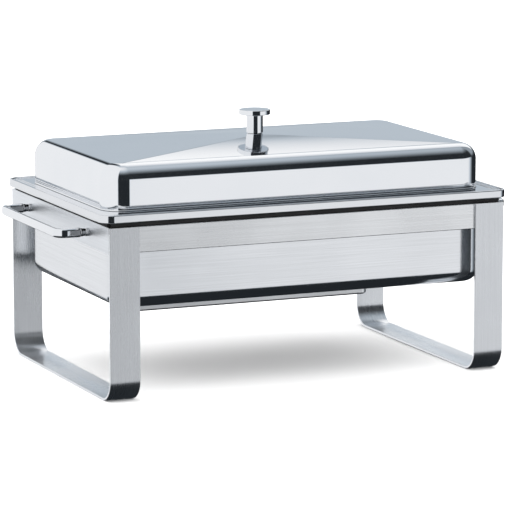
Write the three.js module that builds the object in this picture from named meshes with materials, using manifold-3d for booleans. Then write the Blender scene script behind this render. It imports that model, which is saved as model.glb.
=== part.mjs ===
// Electric buffet server: a rectangular chafing dish on two flat-bar leg loops, with a lift-off lid,
// a 1/1 food pan, a pan frame, a water basin and an electric heater hung under the basin.
// Millimetres, +Z up, front towards -Y, origin on the floor at the middle of the footprint.

import * as THREE from 'three';
import { mergeVertices } from 'three/addons/utils/BufferGeometryUtils.js';
import loadManifold from 'manifold-3d';

const wasm = await loadManifold();
wasm.setup();

// ---------------------------------------------------------------- driving sizes

const LENGTH = 624; // across both leg loops, along X
const DEPTH = 415; // across the uprights of a loop, along Y
const FIT = 0.3; // gap left between pieces that touch
const SHEET = 1; // drawn and folded sheet
const CORNER_STEPS = 6; // segments of each rounded corner
const BEND_STEPS = 4; // segments of each rounded edge

const BAR = { width: 46, thick: 3.5, insideBend: 30 };
const BAND = { bottom: 215.5, top: 253, sheet: 2, lip: 11, halfX: LENGTH / 2 };
BAND.halfY = DEPTH / 2 - BAR.thick - FIT;
BAND.middle = (BAND.bottom + BAND.top) / 2;

const RIM = { halfX: 321.2, halfY: 205.5, corner: 18, bottom: 259.2, top: 271, shelf: 268.1 };
const SEAL = { inset: 1, offFace: 2.2, wide: 6.5, short: 5 }; // strips between the band and the rim
const BASIN = { halfX: 296, halfY: 183, corner: 34, edge: 20, bottom: 130.2 };
const FRAME_PLATE = { openX: 254.8, openY: 152.3, openCorner: 51, lip: 8, corner: 12.6 };
FRAME_PLATE.bottom = RIM.shelf + FIT;
FRAME_PLATE.top = FRAME_PLATE.bottom + SHEET;
FRAME_PLATE.halfX = RIM.halfX - 5.4;
FRAME_PLATE.halfY = RIM.halfY - 5.4;

const PAN = { halfX: 265, halfY: 162.5, corner: 22, wallX: 252, wallY: 149.5, wallCorner: 48 };
PAN.flange = FRAME_PLATE.top + FIT;
PAN.depth = 65;
PAN.taper = 7;
PAN.edge = 18;
PAN.sheet = 1;

const LID = { halfX: 298.8, halfY: 167.4, corner: 34, edge: 26, foot: 1.2, footHeight: 1.5 };
LID.bottom = FRAME_PLATE.top + FIT;
LID.shoulder = 335.4;
LID.seat = 347.2; // flat seat of the knob at the peak
LID.seatRadius = 14;

const KNOB = { stemRadius: 12.5, capRadius: 23.2, capThick: 7.8, top: 383 };
const HANDLE = { tall: 13.5, thick: 8, reach: 361.5, halfY: 126, outerBend: 17, middle: 236 };
HANDLE.spacer = 12.5;

const HEATER = { left: -255, right: 125, halfY: 135, bottom: 116.5, corner: 10, edge: 3 };
HEATER.screwX = [-180, 60];
HEATER.screwY = [-85, 85];
const BOSS = { radius: 4.6, height: 3 };
const BOX = { left: 130, right: 255, front: 35, back: 165, bottom: 93.5, corner: 4, edge: 2.5 };
BOX.panelHeight = 112.8; // height of the controls on the rear wall
const DIAL = { x: 156, radius: 16, depth: 13 };
const LAMP = { x: 183, radius: 4.5 };
const SWITCH = { x: 204, wide: 13, tall: 19, tilt: THREE.MathUtils.degToRad(7) };
const INLET = { x: 233, wide: 27.6, tall: 20 };
const STUD = { radius: 2.5, clear: 2.8, nutFlats: 8, nutThick: 4 };

// ---------------------------------------------------------------- materials

const steel = (colour, roughness) =>
  new THREE.MeshStandardMaterial({ color: colour, roughness, metalness: 1 });
const plain = (colour, roughness) =>
  new THREE.MeshStandardMaterial({ color: colour, roughness, metalness: 0 });

const polished = steel(0xd9dbdd, 0.06);
const satin = steel(0xc6c8ca, 0.24);
const brushed = steel(0xb9bbbd, 0.32);
const zinc = steel(0x9fa3a6, 0.4);
const aluminium = steel(0xc9cbcc, 0.45);
const brass = steel(0xb89a55, 0.35);
const blackPlastic = plain(0x17181a, 0.45);
const creamPlastic = plain(0xe6e0cf, 0.5);
const rubber = plain(0x1b1b1c, 0.8);
const mineralWool = plain(0xd6cfbd, 0.95);
const amber = plain(0xd9822b, 0.2);
const blueCover = plain(0x2f58a8, 0.5);
const brownCover = plain(0x6a3f23, 0.5);
const greenCover = plain(0x4d8a3b, 0.5);

// ---------------------------------------------------------------- solids and booleans

function toSolid(geometry) {
  const bare = geometry.clone();
  bare.deleteAttribute('normal');
  bare.deleteAttribute('uv');
  const merged = mergeVertices(bare, 1e-4);
  const mesh = new wasm.Mesh({
    numProp: 3,
    vertProperties: Float32Array.from(merged.attributes.position.array),
    triVerts: Uint32Array.from(merged.index.array),
  });
  mesh.merge();
  return new wasm.Manifold(mesh);
}

function fromSolid(solid) {
  const mesh = solid.getMesh();
  const geometry = new THREE.BufferGeometry();
  geometry.setAttribute('position', new THREE.BufferAttribute(new Float32Array(mesh.vertProperties), 3));
  geometry.setIndex(new THREE.BufferAttribute(new Uint32Array(mesh.triVerts), 1));
  geometry.computeVertexNormals();
  return geometry;
}

function join(base, others) {
  let solid = toSolid(base);
  for (const other of others) solid = solid.add(toSolid(other));
  return fromSolid(solid);
}

function cut(base, others) {
  let solid = toSolid(base);
  for (const other of others) solid = solid.subtract(toSolid(other));
  return fromSolid(solid);
}

// ---------------------------------------------------------------- shape helpers

function block(x0, x1, y0, y1, z0, z1) {
  const geometry = new THREE.BoxGeometry(x1 - x0, y1 - y0, z1 - z0);
  return geometry.translate((x0 + x1) / 2, (y0 + y1) / 2, (z0 + z1) / 2);
}

// A round bar from one point to another along a main axis.
function rod(radius, from, to, segments = 16) {
  const start = new THREE.Vector3(...from);
  const way = new THREE.Vector3(...to).sub(start);
  const geometry = new THREE.CylinderGeometry(radius, radius, way.length(), segments);
  geometry.applyQuaternion(
    new THREE.Quaternion().setFromUnitVectors(new THREE.Vector3(0, 1, 0), way.clone().normalize()),
  );
  const middle = start.addScaledVector(way, 0.5);
  return geometry.translate(middle.x, middle.y, middle.z);
}

function turned(profile, segments = 24) {
  const points = profile.map(([radius, height]) => new THREE.Vector2(radius, height));
  return new THREE.LatheGeometry(points, segments).rotateX(Math.PI / 2);
}

// One ring of a rounded rectangle, anticlockwise from the +X side.
function ringPoints({ halfX, halfY, corner, z, x = 0, y = 0 }) {
  const points = [];
  for (let quarter = 0; quarter < 4; quarter += 1) {
    const signX = quarter === 0 || quarter === 3 ? 1 : -1;
    const signY = quarter < 2 ? 1 : -1;
    for (let step = 0; step <= CORNER_STEPS; step += 1) {
      const angle = (quarter + step / CORNER_STEPS) * (Math.PI / 2);
      points.push([
        x + signX * (halfX - corner) + corner * Math.cos(angle),
        y + signY * (halfY - corner) + corner * Math.sin(angle),
        z,
      ]);
    }
  }
  return points;
}

// A skin laid over rings, from the first to the last, that runs upwards on the outside of the piece.
// A drawn shell is capped at both ends, and a frame closes its last ring on its first.
function skin(rings, closed = false) {
  const count = 4 * (CORNER_STEPS + 1);
  const positions = [];
  const index = [];
  for (const ring of rings) {
    for (const point of ringPoints(ring)) positions.push(...point);
  }
  const spans = closed ? rings.length : rings.length - 1;
  for (let span = 0; span < spans; span += 1) {
    const low = span * count;
    const high = ((span + 1) % rings.length) * count;
    for (let step = 0; step < count; step += 1) {
      const next = (step + 1) % count;
      index.push(low + step, low + next, high + next);
      index.push(low + step, high + next, high + step);
    }
  }
  if (!closed) {
    const ends = [rings[0], rings[rings.length - 1]];
    ends.forEach(({ x = 0, y = 0, z }, end) => {
      const centre = positions.length / 3;
      positions.push(x, y, z);
      const base = end === 0 ? 0 : (rings.length - 1) * count;
      for (let step = 0; step < count; step += 1) {
        const next = (step + 1) % count;
        if (end === 0) index.push(centre, base + next, base + step);
        else index.push(centre, base + step, base + next);
      }
    });
  }
  const geometry = new THREE.BufferGeometry();
  geometry.setAttribute('position', new THREE.Float32BufferAttribute(positions, 3));
  geometry.setIndex(index);
  return geometry;
}

// Rings of a quarter-round edge between a flat and an upright wall, in the order flat to wall.
// up is +1 where the wall rises from the flat and -1 where it falls from it.
function edgeRings(shell, radius, inset, flatZ, up) {
  const rings = [];
  for (let step = 0; step <= BEND_STEPS; step += 1) {
    const angle = (step / BEND_STEPS) * (Math.PI / 2);
    const reach = radius - (radius - inset) * Math.sin(angle);
    rings.push({
      ...shell,
      halfX: shell.halfX - reach,
      halfY: shell.halfY - reach,
      corner: Math.max(shell.corner - reach, 1),
      z: flatZ + up * (radius - (radius - inset) * Math.cos(angle)),
    });
  }
  return rings;
}

const inward = (shape, by, z) => ({
  ...shape,
  halfX: shape.halfX - by,
  halfY: shape.halfY - by,
  corner: Math.max(shape.corner - by, 0.6),
  z,
});

function piece(parent, name, geometry, material, place = [0, 0, 0]) {
  const mesh = new THREE.Mesh(geometry, material);
  mesh.name = name;
  mesh.position.set(...place);
  parent.add(mesh);
  return mesh;
}

const xAxis = new THREE.Vector3(1, 0, 0);
const yAxis = new THREE.Vector3(0, 1, 0);
const zAxis = new THREE.Vector3(0, 0, 1);

const sides = [
  { side: 'left', sx: -1 },
  { side: 'right', sx: 1 },
];
const ends = [
  { end: 'front', sy: -1 },
  { end: 'rear', sy: 1 },
];

// A hexagon nut that stands along +Y from its own origin.
function nut() {
  const outline = new THREE.Shape();
  const across = STUD.nutFlats / Math.sqrt(3);
  for (let corner = 0; corner < 6; corner += 1) {
    const angle = (corner * Math.PI) / 3;
    if (corner === 0) outline.moveTo(across, 0);
    else outline.lineTo(across * Math.cos(angle), across * Math.sin(angle));
  }
  outline.closePath();
  outline.holes.push(new THREE.Path().absarc(0, 0, STUD.clear, 0, Math.PI * 2, true));
  const options = { depth: STUD.nutThick, bevelEnabled: false, curveSegments: 10 };
  return new THREE.ExtrudeGeometry(outline, options).rotateX(-Math.PI / 2);
}

// ---------------------------------------------------------------- leg loops

const studX = LENGTH / 2 - BAR.width / 2 - 6;

function legLoop(sx) {
  const half = DEPTH / 2;
  const bend = BAR.insideBend + BAR.thick;
  const inner = half - BAR.thick;
  const outline = new THREE.Shape();
  outline.moveTo(-half, BAND.top);
  outline.lineTo(-half, bend);
  outline.absarc(-half + bend, bend, bend, Math.PI, Math.PI * 1.5, false);
  outline.lineTo(half - bend, 0);
  outline.absarc(half - bend, bend, bend, Math.PI * 1.5, Math.PI * 2, false);
  outline.lineTo(half, BAND.top);
  outline.lineTo(inner, BAND.top);
  outline.lineTo(inner, bend);
  outline.absarc(inner - BAR.insideBend, bend, BAR.insideBend, 0, -Math.PI / 2, true);
  outline.lineTo(-inner + BAR.insideBend, BAR.thick);
  outline.absarc(-inner + BAR.insideBend, bend, BAR.insideBend, -Math.PI / 2, -Math.PI, true);
  outline.lineTo(-inner, BAND.top);
  outline.closePath();
  const options = { depth: BAR.width, bevelEnabled: false, curveSegments: 8 };
  const bar = new THREE.ExtrudeGeometry(outline, options);
  bar.applyMatrix4(new THREE.Matrix4().makeBasis(yAxis, zAxis, xAxis));
  bar.translate(sx > 0 ? LENGTH / 2 - BAR.width : -LENGTH / 2, 0, 0);
  const studs = ends.map(({ sy }) => {
    const from = [sx * studX, sy * (inner + 1), BAND.middle];
    const to = [sx * studX, sy * (inner - 11.5), BAND.middle];
    return rod(STUD.radius, from, to, 12);
  });
  return join(bar, studs);
}

// ---------------------------------------------------------------- apron band

// A channel along X: an upright web with its face at y = 0, and two lips towards -Y.
function channel(length, lipLength) {
  const { sheet, lip, bottom, top } = BAND;
  const web = block(-length / 2, length / 2, -sheet, 0, bottom, top);
  const lips = [top - sheet, bottom].map((z) =>
    block(-lipLength / 2, lipLength / 2, -lip, -sheet / 2, z, z + sheet),
  );
  return join(web, lips);
}

function apron(sy) {
  const length = 2 * (BAND.halfX - BAND.sheet - FIT);
  const panel = channel(length, length);
  panel.rotateZ(sy > 0 ? 0 : Math.PI).translate(0, sy * BAND.halfY, 0);
  const holes = sides.map(({ sx }) => {
    const from = [sx * studX, sy * (BAND.halfY - 6), BAND.middle];
    const to = [sx * studX, sy * (BAND.halfY + 3), BAND.middle];
    return rod(STUD.clear, from, to, 12);
  });
  return cut(panel, holes);
}

function sidePanel(sx) {
  const lipLength = 2 * (BAND.halfY - BAND.lip - FIT);
  const panel = channel(2 * BAND.halfY, lipLength);
  panel.rotateZ(sx > 0 ? -Math.PI / 2 : Math.PI / 2).translate(sx * BAND.halfX, 0, 0);
  const holes = ends.map(({ sy }) => {
    const y = sy * (HANDLE.halfY - HANDLE.thick / 2);
    const from = [sx * (BAND.halfX - 6), y, HANDLE.middle];
    const to = [sx * (BAND.halfX + 3), y, HANDLE.middle];
    return rod(STUD.clear, from, to, 12);
  });
  return cut(panel, holes);
}

// A welded angle in each corner of the band, inside both webs.
function cornerBracket(sx, sy) {
  const wing = 11;
  const thick = 1.5;
  const low = BAND.bottom + BAND.sheet + FIT;
  const high = BAND.top - BAND.sheet - FIT;
  const x = BAND.halfX - BAND.sheet - 2 * FIT;
  const y = BAND.halfY - BAND.sheet - FIT;
  const outline = new THREE.Shape();
  outline.moveTo(x, y);
  outline.lineTo(x - wing, y);
  outline.lineTo(x - wing, y - thick);
  outline.lineTo(x - thick, y - thick);
  outline.lineTo(x - thick, y - wing);
  outline.lineTo(x, y - wing);
  outline.closePath();
  const angle = new THREE.ExtrudeGeometry(outline, { depth: high - low, bevelEnabled: false });
  angle.translate(0, 0, low);
  return turnTo(angle, sx, sy);
}

// Turns a solid made in the +X +Y quarter into another quarter by mirroring it whole.
function turnTo(geometry, sx, sy) {
  const solid = toSolid(geometry);
  const across = sx < 0 ? solid.mirror([1, 0, 0]) : solid;
  return fromSolid(sy < 0 ? across.mirror([0, 1, 0]) : across);
}

// Rubber strips on the lips of the band, which the rim of the basin rests on.
const seal = {
  low: BAND.top + FIT,
  high: RIM.shelf - SHEET - FIT,
  outerX: BAND.halfX - SEAL.inset,
  outerY: BAND.halfY - SEAL.offFace,
};

function longSeal(sy) {
  const { low, high, outerX, outerY } = seal;
  const near = sy * (outerY - SEAL.wide);
  const far = sy * outerY;
  const halfX = outerX - SEAL.short;
  return block(-halfX, halfX, Math.min(near, far), Math.max(near, far), low, high);
}

function endSeal(sx) {
  const { low, high, outerX, outerY } = seal;
  const near = sx * (outerX - SEAL.wide);
  const far = sx * outerX;
  const halfY = outerY - SEAL.wide - FIT;
  return block(Math.min(near, far), Math.max(near, far), -halfY, halfY, low, high);
}

// ---------------------------------------------------------------- handles

function handleBar() {
  const { halfY, thick, reach, outerBend, tall } = HANDLE;
  const root = BAND.halfX + 2 * FIT + HANDLE.spacer;
  const innerBend = outerBend - thick;
  const outline = new THREE.Shape();
  outline.moveTo(root, -halfY);
  outline.lineTo(reach - outerBend, -halfY);
  outline.absarc(reach - outerBend, -halfY + outerBend, outerBend, -Math.PI / 2, 0, false);
  outline.lineTo(reach, halfY - outerBend);
  outline.absarc(reach - outerBend, halfY - outerBend, outerBend, 0, Math.PI / 2, false);
  outline.lineTo(root, halfY);
  outline.lineTo(root, halfY - thick);
  outline.lineTo(reach - outerBend, halfY - thick);
  outline.absarc(reach - outerBend, halfY - outerBend, innerBend, Math.PI / 2, 0, true);
  outline.lineTo(reach - thick, -halfY + outerBend);
  outline.absarc(reach - outerBend, -halfY + outerBend, innerBend, 0, -Math.PI / 2, true);
  outline.lineTo(root, -halfY + thick);
  outline.closePath();
  const bevel = 2;
  const bar = new THREE.ExtrudeGeometry(outline, {
    depth: tall - 2 * bevel,
    bevelEnabled: true,
    bevelThickness: bevel,
    bevelSize: bevel,
    bevelOffset: -bevel,
    bevelSegments: 2,
    curveSegments: 7,
  });
  bar.translate(0, 0, HANDLE.middle - tall / 2 + bevel);
  const bores = ends.map(({ sy }) => {
    const y = sy * (halfY - thick / 2);
    return rod(STUD.clear, [root - 2, y, HANDLE.middle], [root + 12.5, y, HANDLE.middle], 12);
  });
  return cut(bar, bores);
}

function handleSpacer() {
  const low = FIT;
  const high = FIT + HANDLE.spacer;
  const profile = [
    [STUD.clear, low],
    [5.6, low],
    [6, low + 0.6],
    [6, high - 0.6],
    [5.6, high],
    [STUD.clear, high],
    [STUD.clear, low],
  ];
  return turned(profile, 18).rotateY(Math.PI / 2);
}

// A pan-head screw: head inside the panel, shank out through the spacer into the handle.
function handleScrew() {
  const head = -BAND.sheet - FIT;
  const tip = HANDLE.spacer + 2 * FIT + 11.5;
  const profile = [
    [0, head - 3],
    [3.6, head - 3],
    [4.6, head - 2],
    [4.6, head],
    [2.4, head],
    [2.4, tip],
    [0, tip],
  ];
  return turned(profile, 16).rotateY(Math.PI / 2);
}

// ---------------------------------------------------------------- water basin and pan frame

// A welded boss under the basin floor, with a blind bore for a heater screw.
function heaterBoss(x, y) {
  const low = BASIN.bottom - BOSS.height;
  const roof = BASIN.bottom - 0.2;
  const top = BASIN.bottom + SHEET / 2;
  const profile = [
    [0, roof],
    [STUD.clear, roof],
    [STUD.clear, low],
    [BOSS.radius, low],
    [BOSS.radius, top],
    [0, top],
    [0, roof],
  ];
  return turned(profile, 16).translate(x, y, 0);
}

function waterBasin() {
  const body = { halfX: BASIN.halfX, halfY: BASIN.halfY, corner: BASIN.corner };
  const rim = { halfX: RIM.halfX, halfY: RIM.halfY, corner: RIM.corner };
  const rings = [
    ...edgeRings(body, BASIN.edge, SHEET, BASIN.bottom, 1),
    inward(body, SHEET, RIM.shelf - 1),
    inward(body, 0.4, RIM.shelf),
    inward(rim, 4.9, RIM.shelf),
    inward(rim, 4.2, RIM.shelf + 1.6),
    inward(rim, 3, RIM.top - 0.3),
    inward(rim, 2, RIM.top),
    inward(rim, 0.8, RIM.top - 0.5),
    inward(rim, 0, RIM.top - 1.6),
    inward(rim, 0, RIM.bottom + 1.4),
    inward(rim, 0.5, RIM.bottom + 0.4),
    inward(rim, 1.4, RIM.bottom),
    inward(rim, 2.3, RIM.bottom + 0.4),
    inward(rim, 2.8, RIM.bottom + 1.4),
    inward(rim, 2.8, RIM.shelf - SHEET),
    inward(body, -0.8, RIM.shelf - SHEET),
    inward(body, 0, RIM.shelf - SHEET - 1),
    ...edgeRings(body, BASIN.edge, 0, BASIN.bottom, 1).reverse(),
  ];
  const bosses = HEATER.screwX.flatMap((x) => HEATER.screwY.map((y) => heaterBoss(x, y)));
  return join(skin(rings.reverse()), bosses);
}

function panFrame() {
  const outer = { halfX: FRAME_PLATE.halfX, halfY: FRAME_PLATE.halfY, corner: FRAME_PLATE.corner };
  const open = { halfX: FRAME_PLATE.openX, halfY: FRAME_PLATE.openY, corner: FRAME_PLATE.openCorner };
  const { top, bottom, lip } = FRAME_PLATE;
  const rings = [
    inward(outer, 0, bottom),
    inward(outer, 0, top - 0.4),
    inward(outer, 0.4, top),
    inward(open, -1.4, top),
    inward(open, 0, top - 1.4),
    inward(open, 0, bottom - lip),
    inward(open, -SHEET, bottom - lip),
    inward(open, -SHEET, bottom - 0.6),
    inward(open, -SHEET - 0.6, bottom),
  ];
  return skin(rings, true);
}

// ---------------------------------------------------------------- food pan

function foodPan() {
  const flange = { halfX: PAN.halfX, halfY: PAN.halfY, corner: PAN.corner };
  const mouth = { halfX: PAN.wallX, halfY: PAN.wallY, corner: PAN.wallCorner };
  const foot = inward(mouth, PAN.taper, 0);
  const floor = PAN.flange + PAN.sheet - PAN.depth;
  const rings = [
    ...edgeRings(foot, PAN.edge, PAN.sheet, floor, 1),
    inward(mouth, PAN.sheet + 0.3, PAN.flange - 3),
    inward(mouth, 0.4, PAN.flange + PAN.sheet - 0.4),
    inward(mouth, -1, PAN.flange + PAN.sheet),
    inward(flange, 0.3, PAN.flange + PAN.sheet),
    inward(flange, 0, PAN.flange + PAN.sheet - 0.3),
    inward(flange, 0, PAN.flange),
    inward(mouth, -1.2, PAN.flange),
    inward(mouth, 0, PAN.flange - 2.5),
    ...edgeRings(foot, PAN.edge, 0, floor, 1).reverse(),
  ];
  return skin(rings.reverse());
}

// ---------------------------------------------------------------- lid and knob

// Rings of the four-sided, slightly bowed roof of the lid, from its flat seat out to the shoulder.
function roofRings(drop) {
  const shoulder = {
    halfX: LID.halfX - LID.edge,
    halfY: LID.halfY - LID.edge,
    corner: LID.corner - LID.edge + 2,
  };
  const seat = { halfX: LID.seatRadius, halfY: LID.seatRadius, corner: LID.seatRadius - 0.1 };
  const steps = 5;
  const rings = [];
  for (let step = 0; step < steps; step += 1) {
    const out = step / steps;
    rings.push({
      halfX: THREE.MathUtils.lerp(seat.halfX, shoulder.halfX, out),
      halfY: THREE.MathUtils.lerp(seat.halfY, shoulder.halfY, out),
      corner: THREE.MathUtils.lerp(seat.corner, shoulder.corner, Math.min(1, out * 1.6)),
      z: THREE.MathUtils.lerp(LID.seat, LID.shoulder, out ** 1.12) - drop,
    });
  }
  return rings;
}

function lidShell() {
  const wall = { halfX: LID.halfX, halfY: LID.halfY, corner: LID.corner };
  const rings = [
    ...roofRings(SHEET),
    ...edgeRings(wall, LID.edge, SHEET, LID.shoulder, -1),
    inward(wall, SHEET, LID.bottom + LID.footHeight),
    inward(wall, SHEET - 0.4, LID.bottom + 0.5),
    inward(wall, 0.2, LID.bottom),
    inward(wall, -LID.foot + 0.5, LID.bottom),
    inward(wall, -LID.foot, LID.bottom + 0.5),
    inward(wall, -LID.foot + 0.5, LID.bottom + 1),
    inward(wall, 0, LID.bottom + LID.footHeight),
    ...edgeRings(wall, LID.edge, 0, LID.shoulder, -1).reverse(),
    ...roofRings(0).reverse(),
  ];
  const bore = rod(3.3, [0, 0, LID.seat - 8], [0, 0, LID.seat + 4], 14);
  return cut(skin(rings), [bore]);
}

function knobStem() {
  const foot = LID.seat + FIT;
  const head = KNOB.top - KNOB.capThick - FIT;
  const radius = KNOB.stemRadius;
  const profile = [
    [0, foot + 13],
    [3.3, foot + 13],
    [3.3, foot],
    [radius - 0.8, foot],
    [radius, foot + 0.8],
    [radius, head - 0.5],
    [radius - 0.5, head],
    [4.3, head],
    [4.3, head - 8.6],
    [0, head - 8.6],
    [0, foot + 13],
  ];
  return turned(profile);
}

function knobCap() {
  const low = KNOB.top - KNOB.capThick;
  const radius = KNOB.capRadius;
  const profile = [
    [0, low - 8.3],
    [4, low - 8.3],
    [4, low],
    [radius - 1.6, low],
    [radius - 0.4, low + 0.6],
    [radius, low + 1.8],
    [radius, KNOB.top - 1.8],
    [radius - 0.5, KNOB.top - 0.5],
    [radius - 1.8, KNOB.top],
    [0, KNOB.top],
  ];
  return turned(profile, 40);
}

const washerTop = LID.seat - SHEET - FIT;
const washerThick = 1.6;

function knobWasher() {
  const low = washerTop - washerThick;
  const profile = [[3.3, low], [9, low], [9, washerTop], [3.3, washerTop], [3.3, low]];
  return turned(profile, 20);
}

function knobScrew() {
  const seat = washerTop - washerThick - FIT;
  const tip = LID.seat + FIT + 12;
  const profile = [
    [0, seat - 3.4],
    [4.2, seat - 3.4],
    [5.4, seat - 2.2],
    [5.4, seat],
    [3, seat],
    [3, tip],
    [0, tip],
  ];
  return turned(profile, 18);
}

// ---------------------------------------------------------------- heater under the basin

const spreader = { top: BASIN.bottom - FIT, thick: 2.5 };
const element = { radius: 3.2, height: BASIN.bottom - 6.4 };
const wool = { low: HEATER.bottom + SHEET + FIT, high: element.height - element.radius - FIT };

// The route of the sheathed element, seen from above, with rounded turns.
const elementRoute = {
  corners: [
    [142, 115],
    [-225, 115],
    [-225, -115],
    [95, -115],
    [95, -45],
    [-165, -45],
    [-165, 55],
    [142, 55],
  ],
  turn: 26,
};

function roundedRoute({ corners, turn }, z) {
  const path = new THREE.CurvePath();
  const at = ([x, y]) => new THREE.Vector3(x, y, z);
  let start = at(corners[0]);
  for (let step = 1; step < corners.length - 1; step += 1) {
    const corner = at(corners[step]);
    const before = corner.clone().add(at(corners[step - 1]).sub(corner).setLength(turn));
    const after = corner.clone().add(at(corners[step + 1]).sub(corner).setLength(turn));
    path.add(new THREE.LineCurve3(start, before));
    path.add(new THREE.QuadraticBezierCurve3(before, corner, after));
    start = after;
  }
  path.add(new THREE.LineCurve3(start, at(corners[corners.length - 1])));
  return path;
}

function circle(radius, segments) {
  const points = [];
  for (let step = 0; step < segments; step += 1) {
    const angle = (step / segments) * Math.PI * 2;
    points.push(new THREE.Vector2(radius * Math.cos(angle), radius * Math.sin(angle)));
  }
  return new THREE.Shape(points);
}

function heatingElement() {
  const path = roundedRoute(elementRoute, element.height);
  return new THREE.ExtrudeGeometry(circle(element.radius, 8), {
    steps: 70,
    extrudePath: path,
    bevelEnabled: false,
  });
}

// A flat sheet with a clearance hole at each heater screw.
function heaterSheet(margin, hole, low, high) {
  const outline = new THREE.Shape();
  const left = HEATER.left + margin;
  const right = HEATER.right - margin;
  const halfY = HEATER.halfY - margin;
  outline.moveTo(left, -halfY);
  outline.lineTo(right, -halfY);
  outline.lineTo(right, halfY);
  outline.lineTo(left, halfY);
  outline.closePath();
  for (const x of HEATER.screwX) {
    for (const y of HEATER.screwY) {
      outline.holes.push(new THREE.Path().absarc(x, y, hole, 0, Math.PI * 2, true));
    }
  }
  const options = { depth: high - low, bevelEnabled: false, curveSegments: 10 };
  return new THREE.ExtrudeGeometry(outline, options).translate(0, 0, low);
}

// An open-topped tray of one sheet, from its outer size, its corner and its bottom edge.
function tray({ left, right, front, back, bottom, top, corner, edge }) {
  const outer = {
    halfX: (right - left) / 2,
    halfY: (back - front) / 2,
    corner,
    x: (left + right) / 2,
    y: (front + back) / 2,
  };
  return skin([
    ...edgeRings(outer, edge, 0, bottom, 1),
    inward(outer, 0, top),
    inward(outer, SHEET, top),
    ...edgeRings(outer, edge, SHEET, bottom, 1).reverse(),
  ]);
}

const leadHoles = [0, elementRoute.corners.length - 1].map((end) => {
  const y = elementRoute.corners[end][1];
  const from = [HEATER.right - 8, y, element.height];
  const to = [BOX.left + 8, y, element.height];
  return rod(element.radius + 0.6, from, to, 12);
});

// A hexagon-head screw up through the tray and the mat into a boss of the basin.
function heaterScrew() {
  const seat = HEATER.bottom - FIT;
  const tip = BASIN.bottom - 0.2 - FIT;
  const head = new THREE.CylinderGeometry(4.6, 4.6, 3, 6);
  head.rotateX(Math.PI / 2).translate(0, 0, seat - 1.5);
  return join(head, [rod(STUD.radius, [0, 0, seat - 1], [0, 0, tip], 12)]);
}

function heaterTray() {
  const { halfY, bottom } = HEATER;
  const shell = tray({ ...HEATER, front: -halfY, back: halfY, top: BASIN.bottom - FIT });
  const screwHoles = HEATER.screwX.flatMap((x) =>
    HEATER.screwY.map((y) => rod(STUD.clear, [x, y, bottom - 2], [x, y, bottom + 3], 12)),
  );
  return cut(shell, [...screwHoles, ...leadHoles]);
}

// ---------------------------------------------------------------- control box

const panel = { outside: BOX.back, inside: BOX.back - SHEET };

// A block as wide and tall as a fitting on the panel, grown all round, from y0 to y1.
function moulding({ x, wide, tall }, grown, y0, y1) {
  const halfWide = wide / 2 + grown;
  const halfTall = tall / 2 + grown;
  const middle = BOX.panelHeight;
  return block(x - halfWide, x + halfWide, y0, y1, middle - halfTall, middle + halfTall);
}

function controlBox() {
  const { back, panelHeight } = BOX;
  const shell = tray({ ...BOX, top: BASIN.bottom - FIT });
  const round = (x, radius) => rod(radius, [x, back - 5, panelHeight], [x, back + 5, panelHeight], 18);
  return cut(shell, [
    round(DIAL.x, 5),
    round(LAMP.x, LAMP.radius + FIT),
    moulding(SWITCH, FIT, back - 5, back + 5),
    moulding(INLET, FIT, back - 5, back + 5),
    ...leadHoles,
  ]);
}

// The regulator: a moulded body that the shaft turns in.
function thermostatBody() {
  const back = panel.inside - FIT;
  const body = moulding({ x: DIAL.x, wide: 32, tall: 28 }, 0, back - 20, back);
  const bore = rod(3.6, [DIAL.x, back - 14, BOX.panelHeight], [DIAL.x, back + 2, BOX.panelHeight], 16);
  return cut(body, [bore]);
}

function thermostatShaft() {
  const from = [DIAL.x, panel.inside - FIT - 13, BOX.panelHeight];
  const to = [DIAL.x, panel.outside + 9, BOX.panelHeight];
  return rod(3, from, to, 16);
}

function thermostatDial() {
  const near = panel.outside + 0.8;
  const far = near + DIAL.depth;
  const { radius } = DIAL;
  const profile = [
    [3.3, near],
    [radius, near],
    [radius, near + 2.4],
    [radius - 2.5, near + 3.4],
    [radius - 3.6, far - 1.4],
    [radius - 5, far],
    [0, far],
    [0, near + 8.8],
    [3.3, near + 8.8],
    [3.3, near],
  ];
  const cap = turned(profile, 30).rotateX(-Math.PI / 2).translate(DIAL.x, 0, BOX.panelHeight);
  const grip = moulding({ x: DIAL.x, wide: 4, tall: 20 }, 0, far - 1.5, far + 1.2);
  return join(cap, [grip]);
}

function switchFrame() {
  const flange = moulding(SWITCH, 2, panel.outside + FIT, panel.outside + 2);
  const body = moulding(SWITCH, 0, panel.inside - 14, panel.outside + 1);
  const well = moulding(SWITCH, -1.4, panel.outside - 6, panel.outside + 5);
  return cut(join(flange, [body]), [well]);
}

// The rocker, made about its own pivot and set at its off tilt.
function switchRocker() {
  const wide = SWITCH.wide - 3.6;
  const half = SWITCH.tall / 2 - 2.2;
  const outline = new THREE.Shape();
  outline.moveTo(-2.4, -half);
  outline.lineTo(3, -half);
  outline.quadraticCurveTo(1.5, 0, 3, half);
  outline.lineTo(-2.4, half);
  outline.closePath();
  const rocker = new THREE.ExtrudeGeometry(outline, { depth: wide, bevelEnabled: false, curveSegments: 8 });
  rocker.applyMatrix4(new THREE.Matrix4().makeBasis(yAxis, zAxis, xAxis)).translate(-wide / 2, 0, 0);
  return rocker.rotateX(-SWITCH.tilt);
}

function pilotLamp() {
  const profile = [
    [0, -9],
    [LAMP.radius, -9],
    [LAMP.radius, SHEET + FIT],
    [LAMP.radius + 1.6, SHEET + FIT],
    [LAMP.radius + 1.6, SHEET + 1.6],
    [LAMP.radius - 0.4, SHEET + 3.6],
    [0, SHEET + 4.4],
  ];
  return turned(profile, 20).rotateX(-Math.PI / 2).translate(LAMP.x, panel.inside, BOX.panelHeight);
}

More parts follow.
